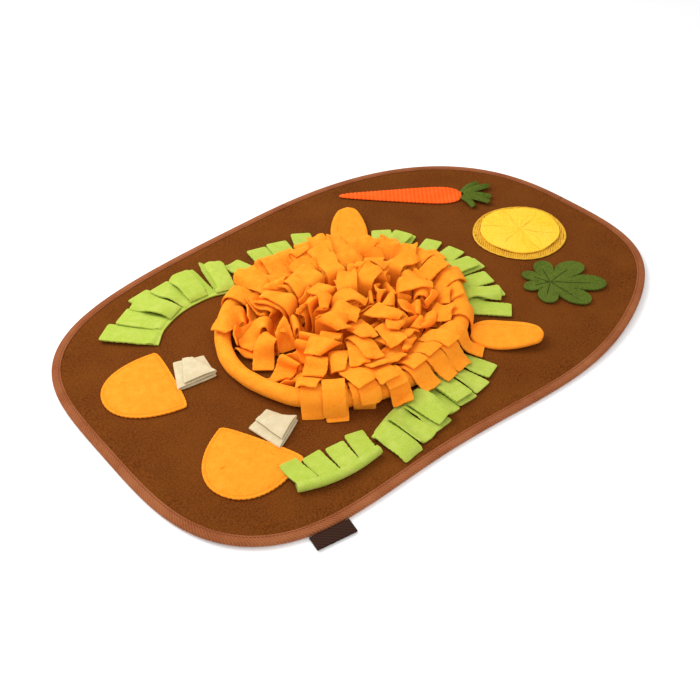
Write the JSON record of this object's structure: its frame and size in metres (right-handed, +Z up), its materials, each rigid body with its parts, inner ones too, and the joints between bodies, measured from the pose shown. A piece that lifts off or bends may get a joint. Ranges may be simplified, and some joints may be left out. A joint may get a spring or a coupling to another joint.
{
  "type": "snuffle mat",
  "caption": "Flat oval felt mat with a bound edge, a padded fleece ring round a heap of fleece strips, leaf fringes and sewn-on mushroom, carrot, leaf and citrus shapes for hiding dry food.",
  "frame": {"origin": "middle of the mat's outline, on the surface that it rests on", "axes": "+X along the mat's long side, +Y towards its back edge, +Z up out of the surface"},
  "size_m": [0.7, 0.4682, 0.0618],
  "materials": {
    "mat_felt": "brown needled felt, matt",
    "binding_tape": "red-brown woven tape, matt",
    "ribbon": "dark woven ribbon, faint sheen",
    "orange_fleece": "orange brushed fleece, matt and soft",
    "green_fleece": "leaf-green brushed fleece, matt and soft",
    "cream_canvas": "cream plain-woven cotton, matt",
    "corduroy": "orange corduroy, ribs across the root",
    "dark_green_felt": "dark green felt, matt",
    "yellow_felt": "yellow felt, matt",
    "yellow_mesh": "yellow open mesh, matt"
  },
  "bodies": {
    "root": {"mat": "mat_felt", "binding": "binding_tape", "tab": "ribbon", "ring_tube": "orange_fleece", "heap_outer_front": "orange_fleece", "heap_outer_right": "orange_fleece", "heap_outer_back": "orange_fleece", "heap_band_second": "orange_fleece", "heap_band_third": "orange_fleece", "heap_band_inner": "orange_fleece", "heap_core": "orange_fleece", "fringe_back": "green_fleece", "fringe_back_left": "green_fleece", "fringe_back_right": "green_fleece", "fringe_front": "green_fleece", "fringe_front_left": "green_fleece", "fringe_right": "green_fleece", "cap_upper": "orange_fleece", "cap_lower": "orange_fleece", "stem_upper": "cream_canvas", "stem_lower": "cream_canvas", "petal_back": "orange_fleece", "petal_front": "orange_fleece", "carrot_body": "corduroy", "carrot_tuft": "dark_green_felt", "leaf": "dark_green_felt", "slice_mesh": "yellow_mesh", "slice_flap": "yellow_felt"}
  },
  "joints": []
}
